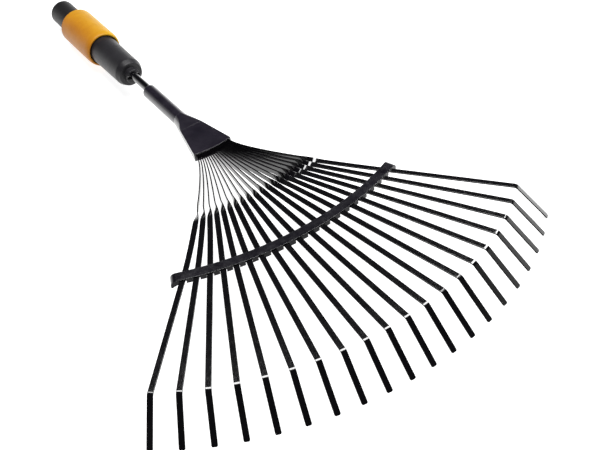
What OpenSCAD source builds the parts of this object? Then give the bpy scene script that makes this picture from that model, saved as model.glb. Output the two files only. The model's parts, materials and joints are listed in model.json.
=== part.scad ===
// Leaf rake head with a quick-release handle socket.
// All sizes are millimetres. The head rests on the floor on its outer tine
// tips and on the release collar; +Y runs from the tines to the handle.

/* [Fan of tines] */

// Distance from the mouth of the neck to the knees of the tines
fan_reach = 287.5; // [270:0.5:300]

// Angle from the middle line to the knee of an outer tine
fan_half_angle = 41.4; // [38:0.1:43]

// Direction of the outer tines past the spreader bar
outer_tine_angle = 42.6; // [40:0.1:45]

// Width of the flat spring-steel strip
tine_width = 5.3; // [4.8:0.1:5.5]

// Thickness of the flat spring-steel strip
tine_thickness = 1.2; // [1:0.05:1.25]

// Length of a tine's tip past its knee
tip_length = 45; // [35:1:55]

// Angle that the tip is bent down by at the knee
tip_bend = 46; // [35:1:55]

// Centreline radius of the bend at the knee
knee_radius = 5; // [3:0.5:8]

// How far the outer knees lie below the middle ones
arch_at_knees = 10.45; // [6:0.05:12]

// Angle that the fan hangs down by from the line of the handle
fan_droop = 1.45; // [0:0.05:3]

/* [Spreader bar] */

// Radius of the bar's middle line
bar_radius = 276; // [270:1:290]

// Width of the bar's top web
bar_width = 9.6; // [9:0.1:11]

// Thickness of the bar's sheet steel
bar_wall = 1; // [0.8:0.1:1.2]

// Height of the bar's side flanges below the web
bar_flange = 4.4; // [3.6:0.1:5]

// Outer radius of the rounded ends of the bar
bar_end_radius = 6; // [4:0.5:6.5]

/* [Neck] */

// Outer radius of the neck tube
neck_radius = 7.8; // [7.5:0.1:8.2]

// Wall of the neck tube
neck_wall = 1.1; // [1:0.1:1.2]

// Outer half width of the flat pocket at its mouth
pocket_half_width = 20.8; // [20.6:0.1:22]

// Sheet thickness of the flat pocket
pocket_wall = 1.6; // [1.2:0.1:1.8]

// Radius of the round tang between the neck and the socket
tang_radius = 4.4; // [4:0.1:4.5]

/* [Handle socket] */

// Radius of the round hole that takes the end of a handle
handle_bore_radius = 12; // [11.5:0.1:12.2]

// Depth of the round hole that takes the end of a handle
handle_bore_depth = 84; // [80:1:86]

// Outer radius of the socket tube
socket_radius = 14.6; // [14.5:0.05:15]

// Radius of the barrel at its front rim
barrel_radius = 15.7; // [15.5:0.1:16]

// How much wider the barrel is at the collar than at its front rim
barrel_taper = 0.8; // [0:0.1:1]

// Outer radius of the release collar
collar_radius = 20.8; // [20.6:0.1:21.5]

// Length of the release collar
collar_length = 75.5; // [74.5:0.1:76]

// Length of the collar's rounded nose, towards the tines
collar_nose = 9; // [6:0.5:10]

// Radius of the latch balls
ball_radius = 3; // [2.9:0.05:3]

/* [Hidden] */

steel_black = [0.07, 0.07, 0.08];
plate_black = [0.13, 0.12, 0.14];
nylon_grey = [0.22, 0.22, 0.23];
nylon_black = [0.10, 0.10, 0.11];
collar_orange = [0.90, 0.55, 0.12];
bright_steel = [0.7, 0.7, 0.72];

// Fan: ranks run from 0.5 at the middle to 9.5 at an outer tine
last_rank = 9.5;
half_width = fan_reach * sin(fan_half_angle);
arch_at_bar = arch_at_knees * 0.49;
root_y = 42;

// Steps along the curved stretch from the pocket's mouth to the bar
bend_steps = [0.08, 0.16, 0.24, 0.32, 0.4, 0.46, 0.5, 0.52, 0.54, 0.56, 0.58, 0.6, 0.62,
    0.7, 0.85];
mouth_y = 6;
fan_drop = -1.5;

// Pocket: half widths along its length, from the mouth to the crease
crease_y = 52;
corner_y = 8.6;
mouth_bow = 2.6;
tube_start_y = 75;
tube_end_y = 146;
crease_half_width = 12.3;
pocket_height = tine_width + 2 * pocket_wall;
root_pitch = (pocket_inner(root_y) - tine_thickness / 2 - 0.05) / last_rank;
mouth_pitch = (pocket_inner(mouth_y) - tine_thickness / 2 - 0.1) / last_rank;
neck_offset = -0.7;
tang_offset = neck_offset + neck_radius - neck_wall - tang_radius;

// Spreader bar
bar_centre_y = 127;
bar_end_angle = 24.5;
bar_end_drop = 2.5;
web_gap = 0.15;
under_web = tine_thickness / 2 + web_gap;

// Handle socket, along the line of the handle
boss_y = 182.5;
face_y = 189.5;
rim_y = 196.6;
barrel_end_y = 272;
collar_y = 258.5;
nose_radius = 18.6;
lip_bore = 17.5;
lip_length = 3.5;
guide_radius = 17.2;
collar_end_y = collar_y + collar_length;
mouth_end_y = 378.8;
mouth_chamfer = 0.7;
ball_y = 316;
ball_x = 14;
cone_slope = 0.11;
step_y = 300;
collar_bore = 18.4;
cone_at_ball = ball_x + ball_radius + 0.15;
pin_y = 262;

// Rest: the head leans on the outer tips and on the collar's far rim
rim_chamfer = 1.5;
tip_low = in_fan(tine_rings(1)[len(tine_rings(1)) - 1][2]);
rest_y = collar_end_y - rim_chamfer;
rest_pitch = atan((-collar_radius - tip_low[2]) / (rest_y - tip_low[1]));
lift = -turn([0, rest_y, -collar_radius], -rest_pitch)[2];
front_ring = tine_rings(10)[len(tine_rings(10)) - 1];
front_y = min([for (p = front_ring) turn(in_fan(p), -rest_pitch)[1]]);
back_y = turn([0, mouth_end_y, socket_radius - mouth_chamfer], -rest_pitch)[1];
middle_y = (front_y + back_y) / 2;

// ---------- Positions ----------

function turn(p, a) = [
    p[0],
    p[1] * cos(a) - p[2] * sin(a),
    p[1] * sin(a) + p[2] * cos(a)
];

function in_fan(p) = turn(p, fan_droop) + [0, 0, fan_drop];

function smooth(u) = let (v = min(1, max(0, u))) v * v * (3 - 2 * v);

function unit(v) = v / norm(v);

function pocket_outer(y) = crease_half_width + (pocket_half_width - crease_half_width)
    * (crease_y - y) / (crease_y - corner_y);

function pocket_inner(y) = pocket_outer(y) - pocket_wall;

function rank_of(i) = i - 10.5;

function share_of(i) = abs(rank_of(i)) / last_rank;

function side_of(i) = sign(rank_of(i));

function arch(x, depth) = -depth * pow(x / half_width, 2);

function flat_dir(a) = [sin(a), -cos(a), 0];

function knee_of(i) = let (
    t = share_of(i),
    a = fan_half_angle * t * (0.9 + 0.1 * t) * side_of(i),
    x = fan_reach * sin(a)
) [x, -fan_reach * cos(a), arch(x, arch_at_knees)];

function line_angle(i) = let (t = share_of(i))
    outer_tine_angle * t * (0.65 + 0.35 * t) * side_of(i);

function at_bar(i) = let (
    t = share_of(i),
    p = knee_of(i) - (138.3 - 17.5 * t * t) * flat_dir(line_angle(i))
) [p[0], p[1], arch(p[0], arch_at_bar)];

function root_of(i) = [rank_of(i) * root_pitch, root_y, 0];

function mouth_of(i) = [rank_of(i) * mouth_pitch, mouth_y, 0];

// ---------- Tines ----------

function curve_point(i, t) = let (
    p = mouth_of(i),
    q = at_bar(i),
    u = unit(mouth_of(i) - root_of(i)) * 80,
    v = unit(knee_of(i) - q) * 110
) (2 * pow(t, 3) - 3 * t * t + 1) * p + (pow(t, 3) - 2 * t * t + t) * u
    + (3 * t * t - 2 * pow(t, 3)) * q + (pow(t, 3) - t * t) * v;

function curve_dir(i, t) = unit(curve_point(i, t + 0.002) - curve_point(i, t - 0.002));

function twist_at(t) = 90 * (1 - smooth((t - 0.49) / 0.13));

function strip_ring(p, d, twist, width) = let (
    s = unit(cross([0, 0, 1], d)),
    n = cross(d, s),
    a = (cos(twist) * s + sin(twist) * n) * width / 2,
    b = (cos(twist) * n - sin(twist) * s) * tine_thickness / 2
) [p + a + b, p - a + b, p - a - b, p + a - b];

function bent(d, a) = let (n = cross(d, unit(cross([0, 0, 1], d)))) cos(a) * d - sin(a) * n;

function tine_rings(i) = let (
    r = root_of(i),
    m = mouth_of(i),
    k = knee_of(i),
    d0 = unit(m - r),
    d1 = unit(k - at_bar(i)),
    n1 = cross(d1, unit(cross([0, 0, 1], d1))),
    bend_start = k - d1 * knee_radius * tan(tip_bend / 2),
    d2 = bent(d1, tip_bend)
) concat(
    [strip_ring(r, d0, 90, tine_width), strip_ring(m, d0, 90, tine_width)],
    [for (t = bend_steps) strip_ring(curve_point(i, t), curve_dir(i, t), twist_at(t), tine_width)],
    [strip_ring(at_bar(i), d1, 0, tine_width)],
    [for (j = [0:4]) let (a = tip_bend * j / 4) strip_ring(
        bend_start + knee_radius * (sin(a) * d1 - (1 - cos(a)) * n1),
        bent(d1, a), 0, tine_width)],
    [strip_ring(k + d2 * (tip_length - 1), d2, 0, tine_width),
     strip_ring(k + d2 * tip_length, d2, 0, tine_width - 1.6)]
);

// ---------- Building helpers ----------

module at_rest() {
    translate([0, -middle_y, lift])
    rotate([-rest_pitch, 0, 0])
    children();
}

module fan_frame() {
    translate([0, 0, fan_drop])
    rotate([fan_droop, 0, 0])
    children();
}

// A turned shape around the line of the handle; y is the height of the profile
module turned() {
    rotate([-90, 0, 0])
    rotate_extrude($fn = 96)
    children();
}

// A rod along the line of the handle
module rod(radius, from_y, to_y, up = 0) {
    translate([0, from_y, up])
    rotate([-90, 0, 0])
    cylinder(r = radius, h = to_y - from_y, $fn = 64);
}

// A skin over a list of closed rings with the same number of points
module sweep(rings) {
    n = len(rings[0]);
    m = len(rings);
    polyhedron(
        points = [for (r = rings) each r],
        faces = concat(
            [[for (j = [0:n - 1]) j]],
            [for (i = [0:m - 2]) for (j = [0:n - 1])
                [i * n + j, (i + 1) * n + j, i * n + (j + 1) % n]],
            [for (i = [0:m - 2]) for (j = [0:n - 1])
                [i * n + (j + 1) % n, (i + 1) * n + j, (i + 1) * n + (j + 1) % n]],
            [[for (j = [n - 1:-1:0]) (m - 1) * n + j]]
        )
    );
}

// ---------- Fan ----------

module tine(i) {
    color(steel_black)
    at_rest()
    fan_frame()
    sweep(tine_rings(i));
}

// A bar cross-section at an angle round the bar; the outline holds [out, up] pairs
function bar_ring(a, outline) = let (
    x = bar_radius * sin(a),
    fall = atan(0.073 * pow(x / 108, 2)),
    m = [x, bar_centre_y - bar_radius * cos(a), arch(x, arch_at_bar)],
    out = flat_dir(a) * cos(fall) + [0, 0, -sin(fall)],
    up = flat_dir(a) * sin(fall) + [0, 0, cos(fall)]
) [for (q = outline) m + q[0] * out + q[1] * up];

// The gap that a tine passes through in both flanges
module bar_notch(i) {
    p = at_bar(i);
    along = unit(knee_of(i) - p);
    translate(p)
    rotate([0, 0, line_angle(i)])
    rotate([asin(-along[2]), 0, 0])
    translate([0, 0, under_web - 3])
    cube([tine_width + 0.9, 30, 6], center = true);
}

// A rectangular cross-section, given by its half width, top and bottom
function strip_outline(w, top, low) = [[w, top], [-w, top], [-w, low], [w, low]];

module bar_sweep(outline, extra = 0) {
    end = bar_end_angle + extra;
    sweep([for (j = [-20:20]) bar_ring(-end * j / 20, outline)]);
}

// The rounded end of the bar in side view: the web runs round to a drooping tail
module bar_end_side(low) {
    top = under_web + bar_wall - 0.03;
    r = bar_end_radius;
    polygon(concat(
        [[-0.4, low], [-0.4, top]],
        [for (a = [90:-10:0]) [r * cos(a), top - r + r * sin(a)]],
        [[r, low - bar_end_drop], [r - 1.2, low - bar_end_drop]]
    ));
}

// The right end of the bar: sheet steel all round, open below
module bar_end() {
    x = bar_radius * sin(bar_end_angle);
    low = under_web - bar_flange + 0.03;
    width = bar_width - 0.06;
    inside = width - 2 * bar_wall;
    fall = atan(0.073 * pow(x / 108, 2));
    slope = atan(2 * arch_at_bar * x / pow(half_width, 2));
    translate([x, bar_centre_y - bar_radius * cos(bar_end_angle), arch(x, arch_at_bar)])
    rotate([0, 0, bar_end_angle])
    rotate([0, slope, 0])
    rotate([fall + 90, 0, 0])
    difference() {
        linear_extrude(width, center = true)
        bar_end_side(low);
        linear_extrude(inside, center = true)
        translate([-bar_wall, -bar_wall])
        hull() {
            bar_end_side(low);
            translate([-2, 0])
            bar_end_side(low);
            translate([0, -3])
            bar_end_side(low);
        }
    }
}

module spreader_bar() {
    w = bar_width / 2;
    low = under_web - bar_flange;
    color(plate_black)
    at_rest()
    fan_frame() {
        difference() {
            bar_sweep(strip_outline(w, under_web + bar_wall, low));
            bar_sweep(strip_outline(w - bar_wall, under_web, low - 2), 1);
            for (i = [1:20]) bar_notch(i);
        }
        bar_end();
        mirror([1, 0, 0]) bar_end();
    }
}

module bar_keeper() {
    w = bar_width / 2 - bar_wall - 0.1;
    top = -tine_thickness / 2 - web_gap;
    color(steel_black)
    at_rest()
    fan_frame()
    bar_sweep(strip_outline(w, top, top - 1), -0.1);
}

// ---------- Neck ----------

// The pocket's plan, moved in by a wall and run out past the mouth by a reach
module pocket_plan(wall, reach, deep) {
    from_y = corner_y - reach;
    half = pocket_outer(from_y) - wall;
    bow = [for (j = [-6:6]) [half * j / 6, from_y - mouth_bow * (1 - j * j / 36)]];
    polygon(concat(bow, [
        [pocket_outer(deep) - wall, deep],
        [-pocket_outer(deep) + wall, deep]
    ]));
}

module flat_slab(half, thick, y) {
    translate([0, y, 0])
    cube([2 * half, 0.2, thick], center = true);
}

module neck_socket() {
    color(plate_black)
    at_rest()
    difference() {
        union() {
            fan_frame()
            translate([0, 0, -pocket_height / 2])
            linear_extrude(pocket_height)
            pocket_plan(0, 0, crease_y);
            hull() {
                fan_frame() flat_slab(crease_half_width - 0.05, pocket_height - 0.06, crease_y - 0.15);
                rod(neck_radius + 0.1, tube_start_y - 0.3, tube_start_y, neck_offset);
            }
            translate([0, 0, neck_offset])
            turned()
            polygon([[0, tube_start_y - 0.15], [neck_radius, tube_start_y - 0.15],
                [neck_radius, tube_end_y - 1.6], [neck_radius - 0.5, tube_end_y - 0.4],
                [neck_radius - 0.9, tube_end_y], [0, tube_end_y]]);
        }
        fan_frame()
        translate([0, 0, -tine_width / 2 - 0.01])
        linear_extrude(tine_width + 0.02)
        pocket_plan(pocket_wall, 20, root_y + 2);
        hull() {
            fan_frame() flat_slab(crease_half_width - pocket_wall - 0.6, tine_width - 1, root_y + 1);
            rod(neck_radius - neck_wall - 0.4, tube_start_y, tube_start_y + 0.2, neck_offset);
        }
        rod(neck_radius - neck_wall, tube_start_y - 1, tube_end_y + 1, neck_offset);
    }
}

module neck_plug() {
    color(steel_black)
    at_rest()
    difference() {
        rod(neck_radius - neck_wall, tube_end_y - 12.5, tube_end_y - 0.5, neck_offset);
        rod(tang_radius + 0.01, tube_end_y - 20, tube_end_y + 5, tang_offset);
    }
}

module tang() {
    color(steel_black)
    at_rest()
    difference() {
        union() {
            rod(tang_radius, 112, 268, tang_offset);
            translate([0, (boss_y + face_y) / 2 + 1.5, tang_offset])
            cube([14.2, 8, 3.6], center = true);
        }
        tang_pin_hole(1.52);
    }
}

module tang_pin_hole(radius) {
    translate([0, pin_y, tang_offset])
    rotate([0, 90, 0])
    cylinder(r = radius, h = 40, center = true, $fn = 32);
}

module tang_pin() {
    color(bright_steel)
    at_rest()
    difference() {
        translate([0, pin_y, tang_offset])
        rotate([0, 90, 0])
        cylinder(r = 1.5, h = 30, center = true, $fn = 32);
        translate([0, pin_y, tang_offset])
        rotate([0, 90, 0])
        cylinder(r = 0.8, h = 40, center = true, $fn = 32);
    }
}

// ---------- Handle socket ----------

module barrel() {
    color(nylon_grey)
    at_rest()
    difference() {
        turned()
        polygon([[0, boss_y], [7.4, boss_y], [8.2, boss_y + 0.8], [8.6, face_y],
            [12.9, face_y], [13.4, face_y + 0.3], [barrel_radius - 0.15, rim_y - 0.7],
            [barrel_radius, rim_y], [barrel_radius + barrel_taper, 262.5], [guide_radius, 263.5],
            [guide_radius, 268.5], [barrel_radius - 0.4, 269.5],
            [barrel_radius - 0.4, barrel_end_y - 0.6], [15, barrel_end_y], [0, barrel_end_y]]);
        rod(tang_radius + 0.02, boss_y - 5, 240, tang_offset);
        translate([0, (boss_y + face_y) / 2 + 1.5, tang_offset])
        cube([14.3, 20, 3.7], center = true);
        rod(13, 236, barrel_end_y + 5);
        tang_pin_hole(1.52);
    }
}

module socket_tube() {
    closed_y = mouth_end_y - handle_bore_depth;
    color(nylon_black)
    at_rest()
    difference() {
        turned()
        polygon([[0, 236.2], [12.98, 236.2], [12.98, barrel_end_y], [socket_radius, barrel_end_y],
            [socket_radius, collar_end_y + 0.3], [13.9, collar_end_y + 0.3],
            [13.9, collar_end_y + 2], [socket_radius, collar_end_y + 2],
            [socket_radius, mouth_end_y - 1], [socket_radius - mouth_chamfer, mouth_end_y],
            [0, mouth_end_y]]);
        rod(handle_bore_radius, closed_y, mouth_end_y + 5);
        rod(handle_bore_radius + 0.5, ball_y - 6, ball_y + 6);
        rod(tang_radius + 0.02, 230, closed_y - 8, tang_offset);
        rod(10, closed_y - 14, closed_y - 4);
        tang_pin_hole(1.52);
        translate([0, ball_y, 0])
        rotate([0, 90, 0])
        cylinder(r = ball_radius + 0.05, h = 40, center = true, $fn = 48);
    }
}

module release_collar() {
    near = cone_at_ball + cone_slope * (step_y - ball_y);
    far = cone_at_ball + cone_slope * (330 - ball_y);
    color(collar_orange)
    at_rest()
    turned()
    polygon(concat(
        [[collar_bore, collar_y + lip_length + 1], [lip_bore, collar_y + lip_length],
            [lip_bore, collar_y + 0.3], [lip_bore + 0.3, collar_y]],
        [for (a = [90:-10:0]) [
            nose_radius + (collar_radius - nose_radius) * cos(a),
            collar_y + collar_nose * (1 - sin(a))]],
        [[collar_radius, collar_end_y - rim_chamfer], [collar_radius - 0.9, collar_end_y - 0.4],
            [collar_radius - rim_chamfer, collar_end_y], [socket_radius + 0.3, collar_end_y],
            [socket_radius + 0.3, 330], [far, 330], [near, step_y], [collar_bore, step_y]]
    ));
}

module collar_spring() {
    wire = 0.7;
    coil = 16.8;
    turns = 5;
    from_y = barrel_end_y + wire + 0.05;
    to_y = step_y - wire - 0.05;
    steps = turns * 20;
    color(bright_steel)
    at_rest()
    sweep([for (j = [0:steps]) let (
        a = 360 * j / 20,
        y = from_y + (to_y - from_y) * j / steps,
        out = [cos(a), 0, sin(a)]
    ) [for (k = [0:5]) let (b = 60 * k)
        out * (coil + wire * cos(b)) + [0, y + wire * sin(b), 0]]]);
}

module stop_ring() {
    color(bright_steel)
    at_rest()
    difference() {
        turned()
        polygon([[13.92, collar_end_y + 0.4], [16.4, collar_end_y + 0.4],
            [16.4, collar_end_y + 1.9], [13.92, collar_end_y + 1.9]]);
        translate([0, collar_end_y, -20])
        cube([5, 8, 20], center = true);
    }
}

module latch_ball(side) {
    color(bright_steel)
    at_rest()
    translate([side * ball_x, ball_y, 0])
    sphere(r = ball_radius, $fn = 64);
}

// ---------- Nodes ----------

module latch_ball_left() latch_ball(-1);
module latch_ball_right() latch_ball(1);
module tine_01() tine(1);
module tine_02() tine(2);
module tine_03() tine(3);
module tine_04() tine(4);
module tine_05() tine(5);
module tine_06() tine(6);
module tine_07() tine(7);
module tine_08() tine(8);
module tine_09() tine(9);
module tine_10() tine(10);
module tine_11() tine(11);
module tine_12() tine(12);
module tine_13() tine(13);
module tine_14() tine(14);
module tine_15() tine(15);
module tine_16() tine(16);
module tine_17() tine(17);
module tine_18() tine(18);
module tine_19() tine(19);
module tine_20() tine(20);

neck_socket();
neck_plug();
tang();
tang_pin();
spreader_bar();
bar_keeper();
barrel();
socket_tube();
release_collar();
collar_spring();
stop_ring();
latch_ball_left();
latch_ball_right();
tine_01();
tine_02();
tine_03();
tine_04();
tine_05();
tine_06();
tine_07();
tine_08();
tine_09();
tine_10();
tine_11();
tine_12();
tine_13();
tine_14();
tine_15();
tine_16();
tine_17();
tine_18();
tine_19();
tine_20();
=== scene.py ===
import json
import math
from collections import namedtuple

import bmesh
import bpy
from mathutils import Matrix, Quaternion, Vector


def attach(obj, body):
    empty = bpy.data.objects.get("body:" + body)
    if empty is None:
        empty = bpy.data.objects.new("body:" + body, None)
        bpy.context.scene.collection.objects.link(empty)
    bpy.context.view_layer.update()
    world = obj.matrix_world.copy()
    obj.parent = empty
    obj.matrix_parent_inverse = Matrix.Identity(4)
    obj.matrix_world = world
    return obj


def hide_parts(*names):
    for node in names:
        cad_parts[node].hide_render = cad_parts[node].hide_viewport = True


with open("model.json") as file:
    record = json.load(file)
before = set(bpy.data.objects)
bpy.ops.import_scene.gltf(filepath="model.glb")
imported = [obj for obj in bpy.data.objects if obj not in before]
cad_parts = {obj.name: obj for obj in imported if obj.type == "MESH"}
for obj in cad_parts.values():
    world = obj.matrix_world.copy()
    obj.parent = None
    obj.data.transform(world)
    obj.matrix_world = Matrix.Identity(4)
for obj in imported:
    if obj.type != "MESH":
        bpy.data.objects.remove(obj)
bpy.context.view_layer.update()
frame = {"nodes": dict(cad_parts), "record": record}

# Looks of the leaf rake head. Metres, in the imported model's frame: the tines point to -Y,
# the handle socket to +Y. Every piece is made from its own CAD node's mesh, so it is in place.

MM = 0.001
NODES = frame["nodes"]
TINE_COUNT = 20

# Body that each CAD node rides on
BODY_OF = {
    node: body
    for body, nodes in frame["record"]["behaviour"]["bodies"].items()
    for node in nodes
}

# ---------- Camera ----------

# Point on the floor in the middle of the picture, and where the lens is from there
AIM = Vector((25.6, -130.0, 0.0)) * MM
CAMERA_AZIMUTH = math.radians(-28.68)
CAMERA_ELEVATION = math.radians(43.54)
CAMERA_DISTANCE = 999.4 * MM
CAMERA_ROLL = math.radians(-7.5)

# Focal length and sensor width, in millimetres as Blender takes them
LENS = 63.36
SENSOR = 36.0

CLIP_START = 0.01
CLIP_END = 60.0


def make_camera():
    """The scene's camera, where the photo's own camera was worked out to be."""
    back = Vector((
        math.sin(CAMERA_AZIMUTH) * math.cos(CAMERA_ELEVATION),
        -math.cos(CAMERA_AZIMUTH) * math.cos(CAMERA_ELEVATION),
        math.sin(CAMERA_ELEVATION),
    ))
    data = bpy.data.cameras.new("camera")
    data.lens = LENS
    data.sensor_width = SENSOR
    data.clip_start = CLIP_START
    data.clip_end = CLIP_END
    camera = bpy.data.objects.new("camera", data)
    bpy.context.scene.collection.objects.link(camera)
    camera.location = AIM + back * CAMERA_DISTANCE
    camera.rotation_mode = "QUATERNION"
    level = (-back).to_track_quat("-Z", "Y")
    roll = Quaternion((0.0, 0.0, 1.0), CAMERA_ROLL)
    camera.rotation_quaternion = level @ roll
    bpy.context.scene.camera = camera


# ---------- Materials ----------

# Face attribute that is 1 on the cut sides of sheet steel
CUT_SIDE = "cut_side"

# Sockets of the Mix node that carry colours
MIX_FACTOR, MIX_A, MIX_B, MIX_RESULT = 0, 6, 7, 2

BEVEL_SAMPLES = 8
WHITE = (1.0, 1.0, 1.0)


class Shader:
    """Builds one procedural material, node by node."""

    def __init__(self, name):
        self.material = bpy.data.materials.new(name)
        self.material.use_nodes = True
        self.tree = self.material.node_tree
        self.surface = self.tree.nodes["Principled BSDF"]
        self.place = self.add("ShaderNodeTexCoord").outputs["Object"]

    def add(self, kind, **inputs):
        """A new node; an input's name is written with _ for its spaces."""
        node = self.tree.nodes.new(kind)
        for key, value in inputs.items():
            self.set(node.inputs[key.replace("_", " ")], value)
        return node

    def set(self, socket, value):
        """Links a socket to another one, or gives it a fixed value."""
        if isinstance(value, bpy.types.NodeSocket):
            self.tree.links.new(value, socket)
        else:
            socket.default_value = value

    def noise(self, scale, detail=3.0, roughness=0.5, stretch=None):
        """Noise over the piece, stretched along an axis if asked."""
        place = self.place
        if stretch:
            mapping = self.add("ShaderNodeMapping", Vector=place, Scale=stretch)
            place = mapping.outputs["Vector"]
        node = self.add(
            "ShaderNodeTexNoise", Vector=place, Scale=scale, Detail=detail, Roughness=roughness
        )
        return node.outputs["Fac"]

    def span(self, value, low, high, to_low, to_high):
        """The value, taken from the range low to high into the range to_low to to_high."""
        node = self.add("ShaderNodeMapRange")
        self.set(node.inputs["Value"], value)
        for key, number in (
            ("From Min", low), ("From Max", high), ("To Min", to_low), ("To Max", to_high)
        ):
            node.inputs[key].default_value = number
        return node.outputs["Result"]

    def ramp(self, value, stops):
        """A colour for each value; stops holds (value, colour)."""
        node = self.add("ShaderNodeValToRGB", Fac=value)
        marks = node.color_ramp.elements
        while len(marks) < len(stops):
            marks.new(0.5)
        for mark, (where, colour) in zip(marks, stops):
            mark.position = where
            mark.color = (*colour, 1.0)
        return node.outputs["Color"]

    def mix(self, factor, a, b, blend="MIX"):
        """Blends two colours; each is a socket or three numbers."""
        node = self.tree.nodes.new("ShaderNodeMix")
        node.data_type = "RGBA"
        node.blend_type = blend
        self.set(node.inputs[MIX_FACTOR], factor)
        for index, colour in ((MIX_A, a), (MIX_B, b)):
            is_socket = isinstance(colour, bpy.types.NodeSocket)
            self.set(node.inputs[index], colour if is_socket else (*colour, 1.0))
        return node.outputs[MIX_RESULT]

    def cut_sides(self, on_flats, on_sides):
        """One value on the rolled flats of a sheet and another on its cut sides."""
        mark = self.tree.nodes.new("ShaderNodeAttribute")
        mark.attribute_name = CUT_SIDE
        return self.span(mark.outputs["Fac"], 0.0, 1.0, on_flats, on_sides)

    def across(self, low, high):
        """0 on the left of the rake's middle line, rising to 1 on the right."""
        split = self.add("ShaderNodeSeparateXYZ", Vector=self.place)
        return self.span(split.outputs["X"], low, high, 0.0, 1.0)

    def bump(self, heights, edge_radius=0.0):
        """Adds bumps one after another; heights holds (texture, depth in metres).

        With an edge radius, sharp edges are shaded as if they were rounded.
        """
        normal = None
        if edge_radius:
            node = self.add("ShaderNodeBevel", Radius=edge_radius)
            node.samples = BEVEL_SAMPLES
            normal = node.outputs["Normal"]
        for texture, depth in heights:
            node = self.add("ShaderNodeBump", Height=texture, Distance=depth, Strength=1.0)
            if normal:
                self.set(node.inputs["Normal"], normal)
            normal = node.outputs["Normal"]
        self.set(self.surface.inputs["Normal"], normal)

    def finish(self, **values):
        """Sets the surface's own inputs and gives the material back."""
        for key, value in values.items():
            self.set(self.surface.inputs[key.replace("_", " ")], value)
        return self.material


# Lacquers on steel, by material slot. Roughness runs from gloss to dull.
LACQUERS = {
    "black_paint": dict(
        dark=(0.0010, 0.0009, 0.0014), light=(0.0026, 0.0023, 0.003),
        gloss=0.07, dull=0.15, coat=1.0, side_shine=0.1,
    ),
    "neck_paint": dict(
        dark=(0.006, 0.005, 0.009), light=(0.015, 0.013, 0.019),
        gloss=0.14, dull=0.24, coat=0.5, side_shine=1.0, edge_radius=0.6 * MM,
    ),
    "bar_paint": dict(
        dark=(0.002, 0.0016, 0.0034), light=(0.0085, 0.0078, 0.011),
        gloss=0.12, dull=0.28, coat=0.3, side_shine=0.25, edge_radius=0.5 * MM,
    ),
}

# Moulded nylons, by material slot
NYLONS = {
    "grey_nylon": dict(
        dark=(0.008, 0.0075, 0.009), light=(0.014, 0.0132, 0.0158),
        gloss=0.34, dull=0.46, grain=0.02 * MM, shine=0.28,
    ),
    "black_nylon": dict(
        dark=(0.002, 0.0016, 0.0022), light=(0.004, 0.0036, 0.0042),
        gloss=0.4, dull=0.52, grain=0.015 * MM, shine=0.25,
    ),
    "orange_nylon": dict(
        dark=(0.355, 0.125, 0.007), light=(0.43, 0.17, 0.009),
        # Painted light on the orange: its right side is made yellower and brighter
        gloss=0.34, dull=0.46, grain=0.008 * MM, shine=0.15, right_painted_light=(1.1, 1.6, 0.9),
    ),
}

NYLON_EDGE_RADIUS = 0.4 * MM

# How far to each side of the middle line the painted light on the right side fades in
PAINTED_LIGHT_REACH = 14 * MM


def lacquer(name, dark, light, gloss, dull, coat, side_shine, edge_radius=0.0):
    """Baked lacquer on steel: nearly black, with a faint orange-peel skin.

    It lies thinner and duller on the cut sides; side_shine is their share of the gloss.
    """
    shader = Shader(name)
    colour = shader.ramp(shader.noise(45.0, 3.0), [(0.35, dark), (0.7, light)])
    rough = shader.span(shader.noise(160.0, 4.0, 0.6), 0.3, 0.75, gloss, dull)
    peel = shader.noise(900.0, 2.0)
    dust = shader.noise(4200.0, 2.0)
    shader.bump([(peel, 0.012 * MM), (dust, 0.003 * MM)], edge_radius)
    return shader.finish(
        Base_Color=colour, Roughness=rough, Coat_Roughness=0.08,
        Coat_Weight=shader.cut_sides(coat, coat * side_shine),
        Specular_IOR_Level=shader.cut_sides(0.5, 0.5 * side_shine),
    )


def nylon(name, dark, light, gloss, dull, grain, shine, right_painted_light=WHITE):
    """Moulded glass-filled nylon: fine matt grain with slow colour clouds.

    The right-side tint multiplies the colour towards the right side: painted light, which
    makes the side where the light falls yellower and brighter.
    """
    shader = Shader(name)
    cloud = shader.noise(60.0, 4.0, 0.55)
    speck = shader.noise(2600.0, 2.0)
    colour = shader.ramp(shader.mix(0.35, cloud, speck), [(0.35, dark), (0.65, light)])
    # Painted light: the colour turns yellower and brighter towards the right side, as if lit
    # from there
    painted_light_mix = shader.mix(shader.across(-PAINTED_LIGHT_REACH, PAINTED_LIGHT_REACH), WHITE, right_painted_light)
    colour = shader.mix(1.0, colour, painted_light_mix, "MULTIPLY")
    rough = shader.span(shader.noise(420.0, 3.0), 0.3, 0.7, gloss, dull)
    fine = shader.noise(1500.0, 3.0, 0.6)
    shader.bump([(fine, grain), (speck, grain * 0.5)], NYLON_EDGE_RADIUS)
    return shader.finish(Base_Color=colour, Roughness=rough, Specular_IOR_Level=shine)


def bright_steel():
    """Drawn wire and pins: fine lines along the part."""
    shader = Shader("bright_steel")
    lines = shader.noise(2400.0, 2.0, 0.5, (1.0, 0.06, 1.0))
    colour = shader.ramp(lines, [(0.3, (0.42, 0.42, 0.43)), (0.7, (0.62, 0.62, 0.63))])
    rough = shader.span(lines, 0.3, 0.7, 0.18, 0.34)
    shader.bump([(lines, 0.004 * MM)])
    return shader.finish(Base_Color=colour, Roughness=rough, Metallic=1.0)


def make_materials():
    """The material of every slot in the record."""
    made = {slot_name: lacquer(slot_name, **look) for slot_name, look in LACQUERS.items()}
    made.update((slot_name, nylon(slot_name, **look)) for slot_name, look in NYLONS.items())
    made["bright_steel"] = bright_steel()
    return made


# ---------- Pieces made from a CAD mesh ----------

# Edges flatter than this are smoothed, and sharper ones stay sharp or are rounded
SMOOTH_LIMIT = math.radians(28)

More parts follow.
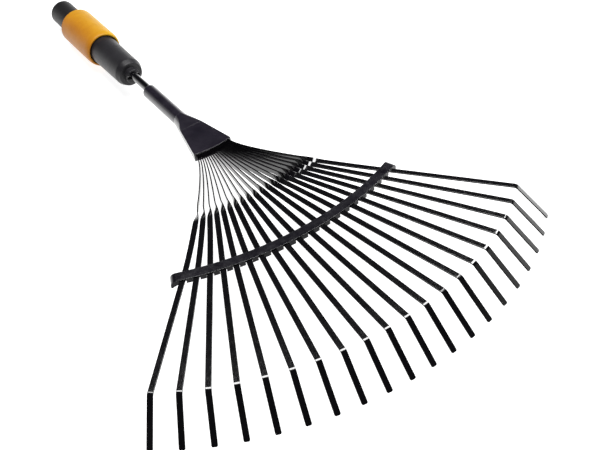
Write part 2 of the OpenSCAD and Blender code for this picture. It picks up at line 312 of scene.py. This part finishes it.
# The pocket's crease is shallow, so the neck needs a lower limit
NECK_SMOOTH_LIMIT = math.radians(6.5)

# Neighbouring faces that turn by less than this are one flat face
FLAT_LIMIT = math.radians(0.4)

# Points closer than this are one point: in any mesh, and between the parts of a sheet
WELD = 0.001 * MM
SHEET_WELD = 0.08 * MM

# A face of a sheet is a cut side if its normal rises by less than this
UPRIGHT = 0.35

TURNED_EDGE_RADIUS = 0.2 * MM


def new_piece(name, bm, node, slot_name, smooth_limit=SMOOTH_LIMIT):
    """A finished mesh as an object that stands for a CAD node."""
    bmesh.ops.recalc_face_normals(bm, faces=bm.faces)
    for face in bm.faces:
        face.smooth = True
    for edge in bm.edges:
        edge.smooth = edge.calc_face_angle(0.0) < smooth_limit
    mesh = bpy.data.meshes.new(name)
    bm.to_mesh(mesh)
    bm.free()
    mesh.materials.append(MATERIALS[slot_name])
    piece = bpy.data.objects.new(name, mesh)
    bpy.context.scene.collection.objects.link(piece)
    even_shading(piece)
    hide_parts(node)
    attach(piece, BODY_OF[node])
    return piece


def even_shading(piece):
    """Large flats keep their own normals, so that only the rounded edges shade."""
    weighted = piece.modifiers.new("weighted", "WEIGHTED_NORMAL")
    weighted.keep_sharp = True
    weighted.weight = 80
    ready = piece.evaluated_get(bpy.context.evaluated_depsgraph_get())
    mesh = bpy.data.meshes.new_from_object(ready)
    piece.modifiers.clear()
    piece.data = mesh
    mesh.name = piece.name


def node_mesh(node, weld=WELD):
    """A CAD node's mesh, welded, with its flat faces whole again."""
    bm = bmesh.new()
    bm.from_mesh(NODES[node].data)
    bmesh.ops.remove_doubles(bm, verts=bm.verts, dist=weld)
    bmesh.ops.dissolve_limit(
        bm, angle_limit=FLAT_LIMIT, verts=bm.verts, edges=bm.edges,
        use_dissolve_boundaries=False,
    )
    return bm


def turned_piece(node, slot_name):
    """A turned CAD node with its sharp edges rounded."""
    bm = node_mesh(node)
    sharp = [e for e in bm.edges if e.is_manifold and e.calc_face_angle(0.0) > SMOOTH_LIMIT]
    bmesh.ops.bevel(
        bm, geom=sharp, offset=TURNED_EDGE_RADIUS, segments=2, profile=0.5, affect="EDGES",
        clamp_overlap=False,
    )
    return new_piece(node + "_body", bm, node, slot_name)


def sheet_piece(node, slot_name, smooth_limit):
    """A CAD node of sheet steel with its upright faces marked as cut sides.

    The wider weld takes out the fine steps between its parts. Its edges stay sharp in the
    mesh and are rounded by its material.
    """
    bm = node_mesh(node, SHEET_WELD)
    bm.normal_update()
    layer = bm.faces.layers.float.new(CUT_SIDE)
    for face in bm.faces:
        face[layer] = 1.0 if abs(face.normal.z) < UPRIGHT else 0.0
    return new_piece(node + "_body", bm, node, slot_name, smooth_limit)


def paint_shown_nodes():
    """Gives each CAD node that stays in view the material of its own slot."""
    for obj in NODES.values():
        if not obj.hide_render:
            shown = obj.material_slots[0]
            shown.material = MATERIALS[shown.material.name.split(".")[0]]


# ---------- Tines ----------

# One cross-section of a strip: its centre, unit vectors along its width and its thickness,
# and half of each
Ring = namedtuple("Ring", "centre side across half_width half_thick")

EDGE_RADIUS = 0.25 * MM
CORNER_STEPS = 2

# How far in from the rounded edge a flat's last line of points lies
FLAT_MARGIN = 0.12 * MM

# Most that a strip turns, and the furthest that it runs, between two cross-sections
TURN_STEP = math.radians(4)
LONG_SPAN = 25 * MM

# Points on each half of a strip's outline, and the segments of a half that lie on the cut
# side and its rounded edges
HALF_POINTS = 2 * (CORNER_STEPS + 2)
SIDE_SEGMENTS = range(1, HALF_POINTS - 2)


def ring_of(points, before):
    """The cross-section with four given corners, turned like the one before it."""
    centre = sum(points, Vector()) / 4
    nearest = min(points[1:], key=lambda p: (p - points[0]).length)
    far = [p for p in points[1:] if p is not nearest]
    side = (points[0] + nearest) / 2 - (far[0] + far[1]) / 2
    across = points[0] - nearest
    half_width, half_thick = side.length / 2, across.length / 2
    side, across = side.normalized(), across.normalized()
    if before and side.dot(before.side) < 0:
        side = -side
    if before and across.dot(before.across) < 0:
        across = -across
    return Ring(centre, side, across, half_width, half_thick)


def tine_rings(node):
    """The tine's cross-sections from root to tip, read from its CAD mesh."""
    bm = bmesh.new()
    bm.from_mesh(NODES[node].data)
    bmesh.ops.remove_doubles(bm, verts=bm.verts, dist=WELD)
    corners = sorted(bm.verts, key=lambda v: (-v.co.y, v.co.x, v.co.z))[:4]
    seen, rings = set(), []
    while corners:
        seen.update(corners)
        rings.append(ring_of([v.co.copy() for v in corners], rings[-1] if rings else None))
        near = {e.other_vert(v) for v in corners for e in v.link_edges}
        corners = sorted(near - seen, key=lambda v: tuple(v.co))
    bm.free()
    return rings


def heading(rings, k):
    """Unit vector along the strip at one cross-section, towards the tip."""
    ahead = rings[min(k + 1, len(rings) - 1)].centre - rings[max(k - 1, 0)].centre
    head = rings[k].side.cross(rings[k].across).normalized()
    return head if head.dot(ahead) > 0 else -head


def hermite(start, end, start_head, end_head, t):
    """Point at share t of a smooth curve with the given ends and end directions."""
    reach = (end - start).length
    a, b = 2 * t**3 - 3 * t * t + 1, t**3 - 2 * t * t + t
    c, d = 3 * t * t - 2 * t**3, t**3 - t * t
    return a * start + b * reach * start_head + c * end + d * reach * end_head


def ring_between(a, b, head_a, head_b, t):
    """The cross-section at share t of the way from a to b."""
    head = head_a.lerp(head_b, t).normalized()
    side = a.side.lerp(b.side, t)
    side = (side - head * side.dot(head)).normalized()
    across = head.cross(side)
    if across.dot(a.across) < 0:
        across = -across
    centre = hermite(a.centre, b.centre, head_a, head_b, t)
    half_width = a.half_width + (b.half_width - a.half_width) * t
    return Ring(centre, side, across, half_width, a.half_thick)


def finer(rings):
    """More cross-sections between the given ones, on a smooth centre line."""
    heads = [heading(rings, k) for k in range(len(rings))]
    made = []
    for k in range(len(rings) - 1):
        a, b = rings[k], rings[k + 1]
        turned = a.side.angle(b.side) + heads[k].angle(heads[k + 1])
        length = (b.centre - a.centre).length
        steps = max(1, math.ceil(turned / TURN_STEP), math.ceil(length / LONG_SPAN))
        made += [ring_between(a, b, heads[k], heads[k + 1], j / steps) for j in range(steps)]
    return made + [rings[-1]]


def strip_section(ring):
    """A rectangle with rounded corners round one cross-section."""
    x0, y0 = ring.half_width - EDGE_RADIUS, ring.half_thick - EDGE_RADIUS
    corner = [(x0 - FLAT_MARGIN, ring.half_thick)]
    for j in range(CORNER_STEPS, -1, -1):
        angle = math.radians(90 * j / CORNER_STEPS)
        corner.append((x0 + EDGE_RADIUS * math.cos(angle), y0 + EDGE_RADIUS * math.sin(angle)))
    right = corner + [(x, -y) for x, y in reversed(corner)]
    outline = right + [(-x, y) for x, y in reversed(right)]
    return [ring.centre + ring.side * x + ring.across * y for x, y in outline]


def loft(sections):
    """A closed skin through a strip's cross-sections, with its cut sides marked."""
    bm = bmesh.new()
    layer = bm.faces.layers.float.new(CUT_SIDE)
    rows = [[bm.verts.new(p) for p in section] for section in sections]
    count = len(rows[0])
    for near, far in zip(rows, rows[1:]):
        for j in range(count):
            k = (j + 1) % count
            face = bm.faces.new((near[j], near[k], far[k], far[j]))
            face[layer] = 1.0 if j % HALF_POINTS in SIDE_SEGMENTS else 0.0
    bm.faces.new(rows[0])
    bm.faces.new(reversed(rows[-1]))
    return bm


def make_tines():
    """One strip with rounded edges for each tine."""
    for i in range(1, TINE_COUNT + 1):
        node = f"tine_{i:02d}"
        bm = loft([strip_section(ring) for ring in finer(tine_rings(node))])
        new_piece(f"strip_{i:02d}", bm, node, "black_paint")


# ---------- Floor and light ----------

FLOOR_REACH = 9.0

# The floor's own light, which keeps shadows faint
FLOOR_GLOW = 0.9

# Name, place, point that it faces, size and radiance of each soft light
LIGHTS = (
    ("overhead", (0.25, 0.19, 1.4), (0.25, 0.19, 0.0), (1.1, 0.82), 12.0),
    ("right_key", (1.11, 0.0, 1.2), (0.15, -0.2, 0.0), (0.36, 0.42), 16.0),
    ("right_high", (1.0, 0.42, 1.4), (1.0, 0.42, 0.0), (0.34, 0.4), 12.0),
)

# Colour of the surroundings by height, from 0 at the horizon to 1 straight overhead
WORLD_STOPS = ((0.08, (1.0, 1.0, 1.0, 1.0)), (0.4, (0.03, 0.03, 0.034, 1.0)))


def make_floor():
    """A wide pale floor."""
    bm = bmesh.new()
    bmesh.ops.create_grid(bm, x_segments=1, y_segments=1, size=FLOOR_REACH)
    mesh = bpy.data.meshes.new("floor")
    bm.to_mesh(mesh)
    bm.free()
    floor = bpy.data.objects.new("floor", mesh)
    bpy.context.scene.collection.objects.link(floor)
    shader = Shader("pale_floor")
    stops = [(0.3, (0.44, 0.44, 0.44)), (0.7, (0.47, 0.47, 0.47))]
    mesh.materials.append(shader.finish(
        Base_Color=shader.ramp(shader.noise(3.0, 2.0), stops),
        Roughness=0.9, Specular_IOR_Level=0.0,
        Emission_Color=(1.0, 1.0, 1.0, 1.0), Emission_Strength=FLOOR_GLOW,
    ))


def make_light(name, place, aim, size, radiance):
    """A white area light; its power follows from its radiance and its size."""
    data = bpy.data.lights.new(name, "AREA")
    data.shape = "RECTANGLE"
    data.size, data.size_y = size
    data.energy = radiance * math.pi * size[0] * size[1]
    light = bpy.data.objects.new(name, data)
    bpy.context.scene.collection.objects.link(light)
    light.location = place
    light.rotation_mode = "QUATERNION"
    light.rotation_quaternion = (Vector(aim) - Vector(place)).to_track_quat("-Z", "Y")


def make_world():
    """Surroundings that are white low down and nearly black overhead."""
    world = bpy.data.worlds.new("studio")
    bpy.context.scene.world = world
    world.use_nodes = True
    tree = world.node_tree
    sky = tree.nodes["Background"]
    place = tree.nodes.new("ShaderNodeTexCoord")
    split = tree.nodes.new("ShaderNodeSeparateXYZ")
    ramp = tree.nodes.new("ShaderNodeValToRGB")
    tree.links.new(place.outputs["Generated"], split.inputs["Vector"])
    tree.links.new(split.outputs["Z"], ramp.inputs["Fac"])
    tree.links.new(ramp.outputs["Color"], sky.inputs["Color"])
    for mark, (height, colour) in zip(ramp.color_ramp.elements, WORLD_STOPS):
        mark.position = height
        mark.color = colour
    sky.inputs["Strength"].default_value = 1.0


# ---------- Build ----------

make_camera()
MATERIALS = make_materials()
make_tines()
sheet_piece("neck_socket", "neck_paint", NECK_SMOOTH_LIMIT)
sheet_piece("spreader_bar", "bar_paint", SMOOTH_LIMIT)
turned_piece("barrel", "grey_nylon")
turned_piece("release_collar", "orange_nylon")
turned_piece("socket_tube", "black_nylon")
paint_shown_nodes()
make_floor()
for light in LIGHTS:
    make_light(*light)
make_world()
bpy.context.scene.view_settings.view_transform = "Standard"
